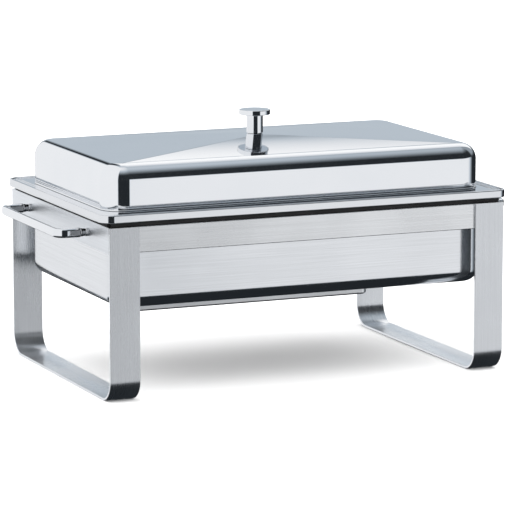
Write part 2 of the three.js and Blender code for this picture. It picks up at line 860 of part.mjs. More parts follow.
// A snap-in inlet with three flat pins in an open-fronted well.
function powerInlet() {
  const { outside, inside } = panel;
  const flange = moulding(INLET, 2.4, outside + FIT, outside + 2.4);
  const body = moulding(INLET, 0, inside - 18, outside + 1);
  const well = moulding(INLET, -2, inside - 13, outside + 6);
  const shell = cut(join(flange, [body]), [well]);
  const pinPlaces = [
    { x: -7, z: -2 },
    { x: 0, z: 2.5 },
    { x: 7, z: -2 },
  ];
  const pins = pinPlaces.map(({ x, z }) =>
    moulding({ x: INLET.x + x, wide: 2, tall: 4 }, 0, inside - 14, outside - 3).translate(0, 0, z),
  );
  return join(shell, pins);
}

const terminals = { left: 196, right: 232, front: 92, back: 108, low: 98, high: 112 };

function terminalBlock() {
  const { left, right, front, back, low, high } = terminals;
  const body = block(left, right, front, back, low, high);
  const pitch = (right - left) / 3;
  const wells = [0.5, 1.5, 2.5].map((slot) => {
    const x = left + slot * pitch;
    return rod(2.4, [x, (front + back) / 2, high - 6], [x, (front + back) / 2, high + 2], 12);
  });
  return cut(body, wells);
}

function thermalCutout() {
  const high = BASIN.bottom - FIT;
  const profile = [
    [0, high - 9],
    [7, high - 9],
    [8, high - 8],
    [8, high - 3],
    [11, high - 3],
    [11, high],
    [0, high],
  ];
  return turned(profile, 22).translate(162, 82, 0);
}

// One covered wire between the back of the inlet and the terminal block.
function lead(slot) {
  const pitch = (terminals.right - terminals.left) / 3;
  const start = new THREE.Vector3(INLET.x + (slot - 1) * 7, panel.inside - 18 - FIT, BOX.panelHeight - 2);
  const finish = new THREE.Vector3(terminals.left + (slot + 0.5) * pitch, terminals.back + FIT, 105);
  const first = start.clone().add(new THREE.Vector3(0, -14, 0));
  const second = finish.clone().add(new THREE.Vector3(0, 14, 0));
  return new THREE.ExtrudeGeometry(circle(1.6, 8), {
    steps: 14,
    extrudePath: new THREE.CubicBezierCurve3(start, first, second, finish),
    bevelEnabled: false,
  });
}

// ---------------------------------------------------------------- assembly

const server = new THREE.Group();

const stand = new THREE.Group();
server.add(stand);
for (const { side, sx } of sides) {
  piece(stand, `${side}_leg_loop`, legLoop(sx), brushed);
  piece(stand, `${side}_side_panel`, sidePanel(sx), brushed);
  const handle = piece(stand, `${side}_handle`, handleBar(), polished);
  handle.rotation.z = sx > 0 ? 0 : Math.PI;
  for (const { end, sy } of ends) {
    const corner = `${end}_${side}`;
    piece(stand, `corner_bracket_${corner}`, cornerBracket(sx, sy), zinc);
    const legNut = piece(stand, `leg_nut_${corner}`, nut(), zinc);
    legNut.position.set(sx * studX, sy * (BAND.halfY - BAND.sheet - FIT), BAND.middle);
    legNut.rotation.z = sy > 0 ? Math.PI : 0;
    const handleEnd = [sx * BAND.halfX, sy * (HANDLE.halfY - HANDLE.thick / 2), HANDLE.middle];
    const spacer = piece(stand, `handle_spacer_${corner}`, handleSpacer(), polished, handleEnd);
    const screw = piece(stand, `handle_screw_${corner}`, handleScrew(), zinc, handleEnd);
    spacer.rotation.z = sx > 0 ? 0 : Math.PI;
    screw.rotation.z = sx > 0 ? 0 : Math.PI;
  }
  piece(stand, `${side}_rim_seal`, endSeal(sx), rubber);
}
for (const { end, sy } of ends) {
  piece(stand, `${end}_apron`, apron(sy), brushed);
  piece(stand, `${end}_rim_seal`, longSeal(sy), rubber);
}

const basin = new THREE.Group();
server.add(basin);
piece(basin, 'water_basin', waterBasin(), satin);
const plate = heaterSheet(6, BOSS.radius + FIT, spreader.top - spreader.thick, spreader.top);
piece(basin, 'heat_spreader', plate, aluminium);
piece(basin, 'heating_element', heatingElement(), zinc);
const mat = heaterSheet(6, STUD.clear, wool.low, wool.high);
piece(basin, 'insulation_mat', mat, mineralWool);
piece(basin, 'heater_tray', heaterTray(), brushed);
for (const x of HEATER.screwX) {
  for (const y of HEATER.screwY) {
    const place = `${y < 0 ? 'front' : 'rear'}_${x < 0 ? 'left' : 'right'}`;
    piece(basin, `heater_screw_${place}`, heaterScrew(), zinc, [x, y, 0]);
  }
}
piece(basin, 'control_box', controlBox(), brushed);
piece(basin, 'thermostat_body', thermostatBody(), creamPlastic);
piece(basin, 'switch_frame', switchFrame(), blackPlastic);
piece(basin, 'pilot_lamp', pilotLamp(), amber);
piece(basin, 'power_inlet', powerInlet(), blackPlastic);
piece(basin, 'terminal_block', terminalBlock(), creamPlastic);
piece(basin, 'thermal_cutout', thermalCutout(), brass);
piece(basin, 'neutral_lead', lead(0), blueCover);
piece(basin, 'earth_lead', lead(1), greenCover);
piece(basin, 'live_lead', lead(2), brownCover);
piece(basin, 'thermostat_dial', thermostatDial(), blackPlastic);
piece(basin, 'thermostat_shaft', thermostatShaft(), zinc);
piece(basin, 'switch_rocker', switchRocker(), blackPlastic, [SWITCH.x, panel.outside, BOX.panelHeight]);

piece(server, 'pan_frame', panFrame(), polished);
piece(server, 'food_pan', foodPan(), satin);

const lid = new THREE.Group();
server.add(lid);
piece(lid, 'lid_shell', lidShell(), polished);
piece(lid, 'knob_stem', knobStem(), polished);
piece(lid, 'knob_cap', knobCap(), polished);
piece(lid, 'knob_washer', knobWasher(), zinc);
piece(lid, 'knob_screw', knobScrew(), zinc);

export default server;
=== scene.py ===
"""Looks of the electric buffet server: finer shells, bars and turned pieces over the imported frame,
procedural metals and plastics, a pale floor and a soft studio. Metres, except where a name says mm."""

import math

import bmesh
import bpy
from mathutils import Matrix, Vector


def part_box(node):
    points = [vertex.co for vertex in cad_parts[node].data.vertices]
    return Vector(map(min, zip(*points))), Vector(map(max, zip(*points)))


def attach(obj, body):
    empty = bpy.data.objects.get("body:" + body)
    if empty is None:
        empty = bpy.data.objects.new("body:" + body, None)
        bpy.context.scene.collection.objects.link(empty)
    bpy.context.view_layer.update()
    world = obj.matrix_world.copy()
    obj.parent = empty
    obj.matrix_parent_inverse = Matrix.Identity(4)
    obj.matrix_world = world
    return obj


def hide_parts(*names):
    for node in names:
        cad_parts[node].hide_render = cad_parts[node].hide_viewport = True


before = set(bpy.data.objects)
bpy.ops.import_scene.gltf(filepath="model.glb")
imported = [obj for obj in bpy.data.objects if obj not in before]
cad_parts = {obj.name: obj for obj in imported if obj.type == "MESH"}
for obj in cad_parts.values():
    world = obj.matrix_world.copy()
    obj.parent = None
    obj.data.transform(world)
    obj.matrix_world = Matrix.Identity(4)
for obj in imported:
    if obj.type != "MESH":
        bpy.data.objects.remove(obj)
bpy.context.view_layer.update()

MM = 0.001
SHEET = 1.0 * MM  # thickness of drawn sheet
CORNER_STEPS = 20  # segments of each rounded corner
BEND_STEPS = 14  # segments of each rounded edge

SIDES = {"left": -1, "right": 1}
ENDS = {"front": -1, "rear": 1}


# ------------------------------------------------------------------ node helpers


def new_material(name):
    material = bpy.data.materials.new(name)
    material.use_nodes = True
    tree = material.node_tree
    return material, tree, tree.nodes["Principled BSDF"]


def add(tree, kind, **settings):
    node = tree.nodes.new(kind)
    for key, value in settings.items():
        setattr(node, key, value)
    return node


def stretched(tree, scale, source="Object"):
    """Texture coordinates scaled along each axis: a small number draws the pattern out along it."""
    place = add(tree, "ShaderNodeTexCoord")
    mapping = add(tree, "ShaderNodeMapping")
    mapping.inputs["Scale"].default_value = scale
    tree.links.new(place.outputs[source], mapping.inputs["Vector"])
    return mapping.outputs["Vector"]


def noise(tree, vector, detail=3.0, rough=0.5):
    texture = add(tree, "ShaderNodeTexNoise")
    texture.inputs["Scale"].default_value = 1
    texture.inputs["Detail"].default_value = detail
    texture.inputs["Roughness"].default_value = rough
    tree.links.new(vector, texture.inputs["Vector"])
    return texture.outputs["Fac"]


def between(tree, factor, low, high, out_low, out_high):
    """Maps factor from low..high to out_low..out_high, and holds it at the ends."""
    node = add(tree, "ShaderNodeMapRange")
    node.inputs["From Min"].default_value = low
    node.inputs["From Max"].default_value = high
    node.inputs["To Min"].default_value = out_low
    node.inputs["To Max"].default_value = out_high
    tree.links.new(factor, node.inputs["Value"])
    return node.outputs["Result"]


def weighted_sum(tree, factor, share, rest):
    """factor times share, plus rest."""
    node = add(tree, "ShaderNodeMath", operation="MULTIPLY_ADD")
    tree.links.new(factor, node.inputs[0])
    node.inputs[1].default_value = share
    tree.links.new(rest, node.inputs[2])
    return node.outputs[0]


def shades(tree, factor, dark, light):
    """A colour between dark and light."""
    node = add(tree, "ShaderNodeMix", data_type="RGBA")
    node.inputs["A"].default_value = (*dark, 1)
    node.inputs["B"].default_value = (*light, 1)
    tree.links.new(factor, node.inputs["Factor"])
    return node.outputs["Result"]


def bump(tree, height, distance, strength):
    node = add(tree, "ShaderNodeBump")
    node.inputs["Distance"].default_value = distance
    node.inputs["Strength"].default_value = strength
    tree.links.new(height, node.inputs["Height"])
    return node.outputs["Normal"]


def wire(tree, shader, colour, roughness, normal=None):
    """Feeds the shader's colour, its roughness and, where one is given, its normal."""
    tree.links.new(colour, shader.inputs["Base Color"])
    tree.links.new(roughness, shader.inputs["Roughness"])
    if normal is not None:
        tree.links.new(normal, shader.inputs["Normal"])


# ------------------------------------------------------------------ materials


def polished_steel(name, dark, light, roughness):
    """Mirror-polished stainless: faint smears and faint long waves of the sheet."""
    material, tree, shader = new_material(name)
    smears = noise(tree, stretched(tree, (9, 14, 11)), detail=4)
    waves = noise(tree, stretched(tree, (7, 9, 12)), detail=1)
    uneven = 0.015
    shader.inputs["Metallic"].default_value = 1
    wire(
        tree,
        shader,
        colour=shades(tree, smears, dark, light),
        roughness=between(tree, smears, 0.3, 0.7, roughness - uneven, roughness + uneven),
        normal=bump(tree, waves, distance=0.0003, strength=0.08),
    )
    return material


def grained_steel(name, scale, source, tone, roughness, depth, spread=0.0):
    """Brushed stainless with its grain drawn out along the axes where scale is small."""
    material, tree, shader = new_material(name)
    darkest, lightest = 0.86, 1.06
    fine_share, coarse_share = 0.6, 0.4
    coarse_scale = tuple(0.22 * value for value in scale)
    fine = noise(tree, stretched(tree, scale, source), detail=2, rough=0.7)
    coarse = noise(tree, stretched(tree, coarse_scale, source), detail=3)
    clouds = noise(tree, stretched(tree, (9, 9, 9)), detail=2)
    grain = weighted_sum(tree, fine, fine_share, between(tree, coarse, 0.3, 0.7, 0, coarse_share))
    patches = between(tree, clouds, 0.35, 0.65, roughness - 0.07, roughness - 0.03)
    dark = tuple(darkest * value for value in tone)
    light = tuple(lightest * value for value in tone)
    shader.inputs["Metallic"].default_value = 1
    shader.inputs["Anisotropic"].default_value = spread
    wire(
        tree,
        shader,
        colour=shades(tree, grain, dark, light),
        roughness=weighted_sum(tree, fine, 0.1, patches),
        normal=bump(tree, fine, depth, strength=0.5),
    )
    return material


def dull_metal(name, dark, light, roughness):
    """Plated, cast or rolled metal with a mottled tone."""
    material, tree, shader = new_material(name)
    mottle = noise(tree, stretched(tree, (180, 180, 180)), detail=5, rough=0.65)
    uneven = 0.08
    shader.inputs["Metallic"].default_value = 1
    wire(
        tree,
        shader,
        colour=shades(tree, mottle, dark, light),
        roughness=between(tree, mottle, 0.3, 0.7, roughness - uneven, roughness + uneven),
        normal=bump(tree, mottle, distance=0.00005, strength=0.3),
    )
    return material


def moulded(name, dark, light, roughness, grain=1400, depth=0.00006):
    """Moulded plastic, and the black seal compound of the rim seals, which is painted shade for the gap
    under the rim: a fine spark-eroded grain and a slightly uneven tone.
    """
    material, tree, shader = new_material(name)
    grit = noise(tree, stretched(tree, (grain, grain, grain)), detail=2)
    tone = noise(tree, stretched(tree, (30, 30, 30)), detail=3)
    wire(
        tree,
        shader,
        colour=shades(tree, tone, dark, light),
        roughness=between(tree, grit, 0.3, 0.7, roughness - 0.05, roughness + 0.07),
        normal=bump(tree, grit, depth, strength=0.35),
    )
    return material


def lens_plastic():
    """The pilot lamp's amber lens, with fine ribs inside."""
    material, tree, shader = new_material("amber lens")
    ribs = add(tree, "ShaderNodeTexWave")
    ribs.inputs["Scale"].default_value = 1
    tree.links.new(stretched(tree, (260, 40, 260)), ribs.inputs["Vector"])
    factor = ribs.outputs["Fac"]
    shader.inputs["Transmission Weight"].default_value = 0.35
    wire(
        tree,
        shader,
        colour=shades(tree, factor, (0.55, 0.16, 0.02), (0.9, 0.36, 0.05)),
        roughness=between(tree, factor, 0, 1, 0.08, 0.2),
    )
    return material


def wool():
    """Pressed mineral wool: matted fibres in a loose weave of tones."""
    material, tree, shader = new_material("mineral wool")
    fibres = noise(tree, stretched(tree, (300, 2200, 700)), detail=5, rough=0.7)
    wire(
        tree,
        shader,
        colour=shades(tree, fibres, (0.5, 0.46, 0.37), (0.83, 0.79, 0.69)),
        roughness=between(tree, fibres, 0.2, 0.8, 0.9, 1.0),
        normal=bump(tree, fibres, distance=0.0004, strength=0.8),
    )
    return material


polished = polished_steel("polished stainless", (0.83, 0.85, 0.875), (0.9, 0.91, 0.925), 0.05)
rim_steel = polished_steel("rim stainless", (0.76, 0.775, 0.8), (0.82, 0.835, 0.85), 0.09)
deck_steel = polished_steel("deck stainless", (0.74, 0.76, 0.79), (0.82, 0.835, 0.86), 0.07)

# The leg bars' grain runs along the bar, whose UVs are metres round and along it.
leg_steel = grained_steel("leg steel", (2600, 26, 1), "UV", (0.87, 0.89, 0.915), 0.28, 0.00003, spread=0.5)
band_steel = grained_steel("band steel", (22, 2400, 2400), "Object", (0.93, 0.94, 0.95), 0.26, 0.000012)
end_steel = grained_steel("end panel steel", (2400, 22, 2400), "Object", (0.84, 0.865, 0.895), 0.4, 0.00001)
satin = grained_steel("satin basin steel", (30, 30, 2600), "Object", (0.82, 0.835, 0.855), 0.13, 0.000005)
folded = grained_steel("folded tray steel", (24, 2200, 2200), "Object", (0.88, 0.895, 0.91), 0.33, 0.00002)

zinc = dull_metal("zinc plate", (0.42, 0.44, 0.46), (0.66, 0.68, 0.69), 0.38)
aluminium = dull_metal("rolled aluminium", (0.66, 0.67, 0.68), (0.83, 0.84, 0.85), 0.42)
sheath = dull_metal("element sheath", (0.22, 0.2, 0.18), (0.42, 0.39, 0.35), 0.45)
brass = dull_metal("brass", (0.62, 0.45, 0.17), (0.86, 0.67, 0.32), 0.3)

black_plastic = moulded("black plastic", (0.007, 0.007, 0.008), (0.018, 0.018, 0.02), 0.42)
gloss_black = moulded("rocker plastic", (0.006, 0.006, 0.007), (0.014, 0.014, 0.016), 0.2, depth=0.00002)
cream_plastic = moulded("cream plastic", (0.66, 0.62, 0.5), (0.82, 0.78, 0.67), 0.5)
# The rim seals' near-black is painted shade: it fills the gap under the basin's rim, which is a shadow gap,
# with a dark seal.
painted_gap_shade = moulded(
    "black rubber", (0.004, 0.004, 0.005), (0.012, 0.012, 0.013), 0.75, grain=900, depth=0.0001
)
white_print = moulded("white print", (0.72, 0.72, 0.7), (0.86, 0.86, 0.84), 0.5)
blue_cover = moulded("blue wire cover", (0.02, 0.07, 0.3), (0.04, 0.13, 0.45), 0.45)
green_cover = moulded("green wire cover", (0.05, 0.2, 0.03), (0.2, 0.42, 0.06), 0.45)
brown_cover = moulded("brown wire cover", (0.1, 0.04, 0.015), (0.2, 0.09, 0.04), 0.45)
lens = lens_plastic()
mineral_wool = wool()


# ------------------------------------------------------------------ mesh helpers


def finish_mesh(name, mesh, material, sharp=32):
    """Smooth shading with crisp edges above sharp degrees, and flats that keep their own normals."""
    mesh.materials.append(material)
    mesh.shade_smooth()
    mesh.set_sharp_from_angle(angle=math.radians(sharp))
    obj = bpy.data.objects.new(name, mesh)
    bpy.context.collection.objects.link(obj)
    weighted = obj.modifiers.new("weighted normals", "WEIGHTED_NORMAL")
    weighted.keep_sharp = True
    return obj


def arc(centre, radius, start, end, steps=8):
    """Points of an arc in a plane, from start to end in degrees."""
    angles = [math.radians(start + (end - start) * step / steps) for step in range(steps + 1)]
    return [(centre[0] + radius * math.cos(a), centre[1] + radius * math.sin(a)) for a in angles]


def rounded_rectangle(half_x, half_y, corner, steps, centre=(0.0, 0.0)):
    """The outline of a rounded rectangle, anticlockwise from its +X side."""
    points = []
    for quarter in range(4):
        sx = 1 if quarter in (0, 3) else -1
        sy = 1 if quarter < 2 else -1
        middle = (centre[0] + sx * (half_x - corner), centre[1] + sy * (half_y - corner))
        points += arc(middle, corner, quarter * 90, quarter * 90 + 90, steps)
    return points


class Shell:
    """A rounded rectangle that rings are set in from."""

    def __init__(self, half_x, half_y, corner, centre=(0.0, 0.0)):
        self.half_x = half_x
        self.half_y = half_y
        self.corner = corner
        self.centre = centre

    def ring(self, inset, z):
        corner = max(self.corner - inset, 0.6 * MM)
        outline = rounded_rectangle(
            self.half_x - inset, self.half_y - inset, corner, CORNER_STEPS, self.centre
        )
        return [(x, y, z) for x, y in outline]

    def bend(self, centre, radius, start, end, steps):
        """Rings along an arc in the plane of inset and height."""
        return [self.ring(inset, z) for inset, z in arc(centre, radius, start, end, steps)]

    def edge(self, radius, inset, flat_z, up):
        """Rings of a quarter-round edge from the flat to the wall. up is +1 where the wall rises."""
        centre = (radius, flat_z + up * radius)
        return self.bend(centre, radius - inset, 180 + up * 90, 180, BEND_STEPS)


def skin(name, rings, material, closed=False, sharp=32):
    """A skin over rings that runs upwards on the outside. A shell is capped, a frame closes on itself."""
    mesh = bpy.data.meshes.new(name)
    shape = bmesh.new()
    rows = [[shape.verts.new(point) for point in points] for points in rings]
    count = len(rows[0])
    spans = len(rows) if closed else len(rows) - 1
    for span in range(spans):
        low, high = rows[span], rows[(span + 1) % len(rows)]
        for step in range(count):
            after = (step + 1) % count
            shape.faces.new((low[step], low[after], high[after], high[step]))
    if not closed:
        shape.faces.new(list(reversed(rows[0])))
        shape.faces.new(rows[-1])
    shape.to_mesh(mesh)
    shape.free()
    return finish_mesh(name, mesh, material, sharp)


def turned(name, profile, material, place=Matrix(), segments=72):
    """A profile of (radius, height) turned about Z, then set in place. A radius of 0 is one point."""
    mesh = bpy.data.meshes.new(name)
    shape = bmesh.new()
    turns = [2 * math.pi * step / segments for step in range(segments)]
    rows = []
    for radius, height in profile:
        if radius == 0:
            rows.append([shape.verts.new((0, 0, height))])
        else:
            circle = [(radius * math.cos(a), radius * math.sin(a), height) for a in turns]
            rows.append([shape.verts.new(point) for point in circle])
    for low, high in zip(rows, rows[1:]):
        for step in range(segments):
            after = (step + 1) % segments
            lower = [low[step % len(low)], low[after % len(low)]]
            upper = [high[after % len(high)], high[step % len(high)]]
            shape.faces.new(list(dict.fromkeys(lower + upper)))
    shape.transform(place)
    shape.to_mesh(mesh)
    shape.free()
    return finish_mesh(name, mesh, material)


def rounded_route(corners, radius, steps=22):
    """A route in a plane with rounded turns: (point, direction) pairs."""
    points = [Vector(corner) for corner in corners]
    route = [(points[0], (points[1] - points[0]).normalized())]
    for before, corner, after in zip(points, points[1:], points[2:]):
        came = (corner - before).normalized()
        goes = (after - corner).normalized()
        turn = abs(came.angle_signed(goes))
        start = corner - came * radius * math.tan(turn / 2)
        side = 1 if came.x * goes.y - came.y * goes.x > 0 else -1
        centre = start + side * radius * Vector((-came.y, came.x))
        for step in range(steps + 1):
            swing = Matrix.Rotation(side * turn * step / steps, 2)
            route.append((centre + swing @ (start - centre), swing @ came))
    route.append((points[-1], (points[-1] - points[-2]).normalized()))
    return route


def swept(name, route, section, to_world, material):
    """A closed section of (sideways, upright) points swept along a flat route, capped at both ends.
    Its UVs are metres round the section and metres along the route."""
    mesh = bpy.data.meshes.new(name)
    shape = bmesh.new()
    uv = shape.loops.layers.uv.new("along")
    rows = []
    lengths = [0.0]
    for index, (point, heading) in enumerate(route):
        if index:
            lengths.append(lengths[-1] + (point - route[index - 1][0]).length)
        left = Vector((-heading.y, heading.x))
        rows.append([shape.verts.new(to_world(*(point + left * side), up)) for side, up in section])
    count = len(section)
    rounds = [0.0]
    for (side, up), (next_side, next_up) in zip(section, section[1:] + section[:1]):
        rounds.append(rounds[-1] + math.hypot(next_side - side, next_up - up))
    for row, (low, high) in enumerate(zip(rows, rows[1:])):
        for step in range(count):
            after = (step + 1) % count
            face = shape.faces.new((low[step], low[after], high[after], high[step]))
            around = (rounds[step], rounds[step + 1], rounds[step + 1], rounds[step])
            along = (lengths[row], lengths[row], lengths[row + 1], lengths[row + 1])
            for loop, place in zip(face.loops, zip(around, along)):
                loop[uv].uv = place
    shape.faces.new(list(reversed(rows[0])))
    shape.faces.new(rows[-1])
    bmesh.ops.recalc_face_normals(shape, faces=shape.faces)
    shape.to_mesh(mesh)
    shape.free()
    return finish_mesh(name, mesh, material)


def place_piece(piece, body, slot, *nodes):
    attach(piece, body)
    if nodes:
        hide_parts(*nodes)


# ------------------------------------------------------------------ stand


def leg_loops():
    """Each loop is one flat bar: up, round, along the floor, round and up again."""
    thick = 3.5 * MM
    inside_bend = 30 * MM
    edge = 0.5 * MM
    for side in SIDES:
        node = f"{side}_leg_loop"
        low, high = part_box(node)
        middle_x = (low.x + high.x) / 2
        half_wide = (high.x - low.x) / 2
        front, back = low.y + thick / 2, high.y - thick / 2
        corners = [(front, high.z), (front, thick / 2), (back, thick / 2), (back, high.z)]
        route = rounded_route(corners, inside_bend + thick / 2)
        section = rounded_rectangle(thick / 2, half_wide, edge, steps=3)

        def to_world(y, z, x, middle_x=middle_x):
            return middle_x + x, y, z

        bar = swept(f"{side}_leg_bar", route, section, to_world, leg_steel)
        place_piece(bar, "stand", "brushed_steel", node)


def aprons():
    """The long sides of the band: folded channels with soft bends and two inward lips."""
    sheet, lip = 2 * MM, 11 * MM
    soft, tight = 1.1 * MM, 0.4 * MM
    for end, sy in ENDS.items():
        node = f"{end}_apron"
        low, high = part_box(node)
        half_up = (high.z - low.z) / 2
        middle_z = (low.z + high.z) / 2
        face = high.y if sy > 0 else -low.y
        back, inner = face - lip, face - sheet
        section = arc((face - soft, half_up - soft), soft, 0, 90, 6)
        section += [(back, half_up), (back, half_up - sheet)]
        section += [(inner - tight, half_up - sheet), (inner, half_up - sheet - tight)]
        section += [(inner, -half_up + sheet + tight), (inner - tight, -half_up + sheet)]
        section += [(back, -half_up + sheet), (back, -half_up)]
        section += arc((face - soft, -half_up + soft), soft, -90, 0, 6)
        heading = Vector((1, 0))
        route = [(Vector((-high.x, 0)), heading), (Vector((high.x, 0)), heading)]

        def to_world(x, y, z, sy=sy, middle_z=middle_z):
            return x, sy * y, middle_z + z

        band = swept(f"{end}_band", route, section, to_world, band_steel)
        place_piece(band, "stand", "brushed_steel", node)


def handles():
    """D handles: a soft-cornered bar that leaves the side panel, turns along it and comes back."""
    thick = 8 * MM
    turn = 13 * MM
    soft = 3.8 * MM
    for side, sx in SIDES.items():
        node = f"{side}_handle"
        low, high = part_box(node)
        outer = high.x if sx > 0 else -low.x
        root = low.x if sx > 0 else -high.x
        middle_z = (low.z + high.z) / 2
        half_tall = (high.z - low.z) / 2
        reach = outer - thick / 2
        line = high.y - thick / 2
        route = rounded_route([(root, -line), (reach, -line), (reach, line), (root, line)], turn)
        section = rounded_rectangle(thick / 2, half_tall, soft, steps=8)

        def to_world(x, y, z, sx=sx, middle_z=middle_z):
            return sx * x, y, middle_z + z

        bar = swept(f"{side}_handle_bar", route, section, to_world, polished)
        place_piece(bar, "stand", "polished_steel", node)


def handle_spacers():
    """Turned ferrules between the handles and the side panels, each with a waist."""
    bore = 2.8 * MM
    edge = 0.7 * MM
    waist_depth = 0.5 * MM
    waist_start, waist_end = 0.45, 0.38  # shares of the half length
    for side in SIDES:
        for end in ENDS:
            node = f"handle_spacer_{end}_{side}"
            low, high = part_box(node)
            radius = (high.y - low.y) / 2
            half = (high.x - low.x) / 2
            waist = radius - waist_depth
            profile = [(bore, -half)]
            profile += arc((radius - edge, -half + edge), edge, -90, 0, 5)
            profile += [(radius, -half * waist_start), (waist, -half * waist_end)]
            profile += [(waist, half * waist_end), (radius, half * waist_start)]
            profile += arc((radius - edge, half - edge), edge, 0, 90, 5)
            profile += [(bore, half), (bore, -half)]
            place = Matrix.Translation((low + high) / 2) @ Matrix.Rotation(math.pi / 2, 4, "Y")
            spacer = turned(f"{end}_{side}_handle_ferrule", profile, polished, place, segments=40)
            place_piece(spacer, "stand", "polished_steel", node)


# ------------------------------------------------------------------ basin, pan frame and pan


def rolled_rim(rim, shelf, face_low, top, hem, bead):
    """Rings of the basin's rim: out under the shelf, a hem, up the face and over a bead."""
    rings = [rim.ring(2 * hem, shelf - SHEET)]
    rings += rim.bend((hem, face_low + hem), hem, 0, -180, 8)
    rings += rim.bend((bead, top - bead), bead, 180, 0, 12)
    rings += [rim.ring(2 * bead, shelf + 0.8 * MM), rim.ring(2 * bead + 0.3 * MM, shelf + 0.2 * MM)]
    rings.append(rim.ring(2 * bead + 1 * MM, shelf))
    return rings


def beyond(point, body, margin):
    """True where a point is outside a shell's walls by more than a margin."""
    return abs(point.x) > body.half_x + margin or abs(point.y) > body.half_y + margin


def water_basin():
    """A deep drawn basin in satin steel with a polished, rolled rim."""
    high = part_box("water_basin")[1]
    rim = Shell(high.x, high.y, corner=18 * MM)
    body = Shell(296 * MM, 183 * MM, corner=34 * MM)
    floor_z = 130.2 * MM
    face_low = 259.2 * MM
    shelf = 268.1 * MM
    edge = 20 * MM
    hem, bead, throat = 1.4 * MM, 1.7 * MM, 1.6 * MM
    flare_mm = ((0, 2), (-0.2, 1), (-0.9, 0.2), (-2, 0))  # inset and drop of the turn into the rim
    outside = body.edge(edge, 0, floor_z, 1)
    outside += [body.ring(inset * MM, shelf - SHEET - drop * MM) for inset, drop in flare_mm]
    inside = body.bend((SHEET - throat, shelf - throat), throat, 90, 0, 6)
    inside += reversed(body.edge(edge, SHEET, floor_z, 1))
    rings = outside + rolled_rim(rim, shelf, face_low, high.z, hem, bead) + inside
    basin = skin("basin_shell", rings, satin)
    basin.data.materials.append(rim_steel)
    for face in basin.data.polygons:
        if face.center.z > face_low - hem and beyond(face.center, body, 1.5 * MM):
            face.material_index = 1
    place_piece(basin, "basin", "satin_steel", "water_basin")


def pan_frame():
    """The drop-in deck round the pan, with two shallow grooves and a lip down into the basin."""
    low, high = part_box("pan_frame")
    top, bottom = high.z, high.z - SHEET
    outer = Shell(high.x, high.y, corner=12.6 * MM)
    mouth = Shell(254.8 * MM, 152.3 * MM, corner=51 * MM)
    throat = 1.8 * MM
    rim_mm = ((0, 0.35), (0.12, 0.1), (0.4, 0))  # inset and drop of the rounded outer edge
    groove_mm = ((0, 0), (0.5, 0.15), (0.9, 0.8), (2.4, 0.8), (2.8, 0.15), (3.3, 0))
    groove_starts_mm = (3.2, 8.2)
    rings = [outer.ring(0.3 * MM, bottom), outer.ring(0, bottom + 0.3 * MM)]
    rings += [outer.ring(inset * MM, top - drop * MM) for inset, drop in rim_mm]
    for start in groove_starts_mm:
        rings += [outer.ring((start + inset) * MM, top - drop * MM) for inset, drop in groove_mm]
    rings.append(outer.ring(12.9 * MM, top))
    rings += mouth.bend((-throat, top - throat), throat, 90, 0, 7)
    rings += [mouth.ring(0, low.z), mouth.ring(-SHEET, low.z), mouth.ring(-SHEET, bottom - 1 * MM)]
    rings.append(mouth.ring(-SHEET - 0.8 * MM, bottom))
    deck = skin("pan_deck", rings, deck_steel, closed=True, sharp=50)
    place_piece(deck, "pan_frame", "polished_steel", "pan_frame")


def food_pan():
    """A drawn pan with a flat flange, tapering walls and a soft floor edge."""
    low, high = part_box("food_pan")
    top, under = high.z, high.z - SHEET
    taper = 7 * MM
    flange = Shell(high.x, high.y, corner=22 * MM)
    mouth = Shell(252 * MM, 149.5 * MM, corner=48 * MM)
    foot = Shell(mouth.half_x - taper, mouth.half_y - taper, mouth.corner - taper)
    edge = 18 * MM
    throat = 2 * MM
    flare_mm = ((0, 2.5), (-0.5, 0.7), (-1.2, 0))  # inset and drop of the turn into the flange
    rim_mm = ((0, 0.3), (0.1, 0.1), (0.35, 0))  # inset and drop of the rounded outer edge
    outside = foot.edge(edge, 0, low.z, 1)
    outside += [mouth.ring(inset * MM, under - drop * MM) for inset, drop in flare_mm]
    rim = [flange.ring(0.2 * MM, under), flange.ring(0, under + 0.2 * MM)]
    rim += [flange.ring(inset * MM, top - drop * MM) for inset, drop in rim_mm]
    inside = mouth.bend((SHEET - throat, top - throat), throat, 90, 0, 6)
    inside += reversed(foot.edge(edge, SHEET, low.z, 1))
    pan = skin("pan_shell", outside + rim + inside, satin)
    place_piece(pan, "food_pan", "satin_steel", "food_pan")


# ------------------------------------------------------------------ lid and knob


def roof(wall, edge, shoulder_z, seat_z, drop):
    """Rings of the four-sided, softly bowed roof, from the shoulder in to the knob's round seat."""
    seat = 14 * MM
    ridge = 8 * MM  # rounding of the four ridges at the shoulder
    swell = 10 * MM  # extra rounding halfway up
    bow = 1.12  # 1 would be a straight slope
    steps = 34
    shoulder_x, shoulder_y = wall.half_x - edge, wall.half_y - edge
    rings = []
    for step in range(1, steps + 1):
        out = 1 - step / steps
        half_x = seat + (shoulder_x - seat) * out
        half_y = seat + (shoulder_y - seat) * out
        rounding = ridge + (seat - 0.1 * MM - ridge) * (1 - out) ** 1.5
        corner = min(rounding + swell * math.sin(math.pi * out), half_y - 0.1 * MM)
        z = seat_z + (shoulder_z - seat_z) * out**bow - drop
        outline = rounded_rectangle(half_x, half_y, corner, CORNER_STEPS)
        rings.append([(x, y, z) for x, y in outline])
    return rings


